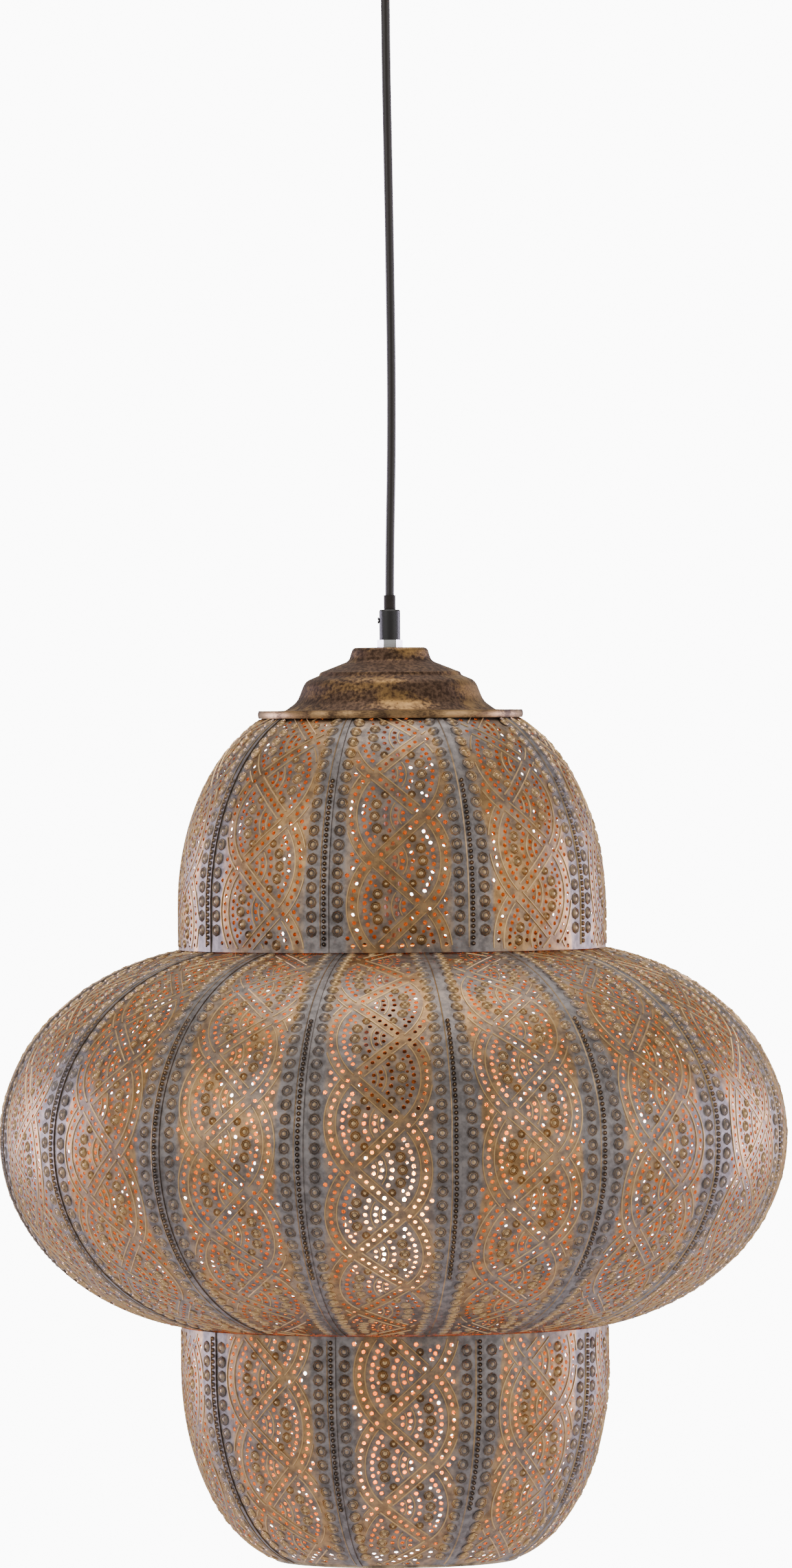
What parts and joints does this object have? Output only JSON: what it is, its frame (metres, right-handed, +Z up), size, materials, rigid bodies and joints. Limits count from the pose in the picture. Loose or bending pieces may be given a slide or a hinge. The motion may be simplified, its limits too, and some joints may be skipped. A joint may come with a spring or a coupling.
{
  "type": "hanging lantern",
  "caption": "Pierced sheet-metal hanging lantern with a domed top, wide belly and open drum, on a straight pendant cord from a ceiling cup.",
  "frame": {"origin": "centre of the ceiling fitting, in the plane of the ceiling", "axes": "+Z up along the cord; -Y is the front, and +X is the right-hand side seen from the front"},
  "size_m": [0.4994, 0.4994, 1.0529],
  "materials": {
    "zinc_steel": "zinc plated",
    "dark_cup": "dark bronze lacquer",
    "black_moulding": "moulded, satin",
    "black_sleeve": "soft, matt",
    "cord_sheath": "smooth sheath, satin",
    "nickel_nut": "nickel plated, dulled",
    "aged_bronze": "dark patina, pitted, with worn gold patches",
    "worn_brass": "worn bright on a dark patina",
    "brass_wire": "dull drawn wire",
    "holder_black": "moulded phenolic",
    "porcelain": "glazed",
    "brass_shell": "rolled sheet",
    "nickel_base": "nickel plated",
    "black_glass": "vitrite with a solder tip",
    "clear_glass": "clear",
    "filament": "glowing warm white",
    "patinated_brass": "blue-grey patina in the hollows, brass worn bright on the ridges"
  },
  "bodies": {
    "fitting": {"ceiling_bar": "zinc_steel", "ceiling_cup": "dark_cup", "cup_nipple": "zinc_steel", "cup_nuts": "zinc_steel", "cup_grip": "black_moulding"},
    "outlet": {"upper_sleeve": "black_sleeve"},
    "lantern": {"pendant_cord": "cord_sheath", "cord_sleeve": "black_sleeve", "cord_grip": "black_moulding", "grip_screw": "black_moulding", "cap_nuts": "nickel_nut", "inner_washer": "zinc_steel", "cap": "aged_bronze", "cap_band": "worn_brass", "stem_tube": "zinc_steel", "waist_hoops": "brass_wire", "end_hoops": "brass_wire", "holder_cap": "holder_black", "holder_skirt": "holder_black", "holder_core": "porcelain", "holder_shell": "brass_shell", "holder_contact": "brass_shell", "dome_strip_1": "patinated_brass", "dome_strip_2": "patinated_brass", "dome_strip_3": "patinated_brass", "dome_strip_4": "patinated_brass", "dome_strip_5": "patinated_brass", "dome_strip_6": "patinated_brass", "dome_strip_7": "patinated_brass", "dome_strip_8": "patinated_brass", "dome_strip_9": "patinated_brass", "belly_strip_01": "patinated_brass", "belly_strip_02": "patinated_brass", "belly_strip_03": "patinated_brass", "belly_strip_04": "patinated_brass", "belly_strip_05": "patinated_brass", "belly_strip_06": "patinated_brass", "belly_strip_07": "patinated_brass", "belly_strip_08": "patinated_brass", "belly_strip_09": "patinated_brass", "belly_strip_10": "patinated_brass", "belly_strip_11": "patinated_brass", "belly_strip_12": "patinated_brass", "belly_strip_13": "patinated_brass", "belly_strip_14": "patinated_brass", "belly_strip_15": "patinated_brass", "belly_strip_16": "patinated_brass", "drum_strip_1": "patinated_brass", "drum_strip_2": "patinated_brass", "drum_strip_3": "patinated_brass", "drum_strip_4": "patinated_brass", "drum_strip_5": "patinated_brass", "drum_strip_6": "patinated_brass", "drum_strip_7": "patinated_brass", "drum_strip_8": "patinated_brass", "drum_strip_9": "patinated_brass"},
    "bulb_carrier": {"bulb_tip": "black_glass"},
    "bulb": {"bulb_base": "nickel_base", "bulb_glass": "clear_glass", "bulb_filaments": "filament"}
  },
  "joints": [
    {"name": "swing_side", "type": "hinge", "parent": "fitting", "child": "outlet", "pos_m": [0, 0, -0.0489], "axis": [0, 1, 0], "range_deg": [-12, 12]},
    {"name": "swing_fore", "type": "hinge", "parent": "outlet", "child": "lantern", "pos_m": [0, 0, -0.0574], "axis": [1, 0, 0], "range_deg": [-12, 12]},
    {"name": "bulb_drop", "type": "slide", "parent": "lantern", "child": "bulb_carrier", "axis": [0, 0, -1], "range_m": [0, 0.018]},
    {"name": "bulb_turn", "type": "hinge", "parent": "bulb_carrier", "child": "bulb", "pos_m": [0, 0, -0.76], "axis": [0, 0, -1], "range_deg": [0, 1800]}
  ],
  "couplings": [
    {"joint": "bulb_turn", "follows": "bulb_drop", "rad_per_m": 1731.4}
  ]
}
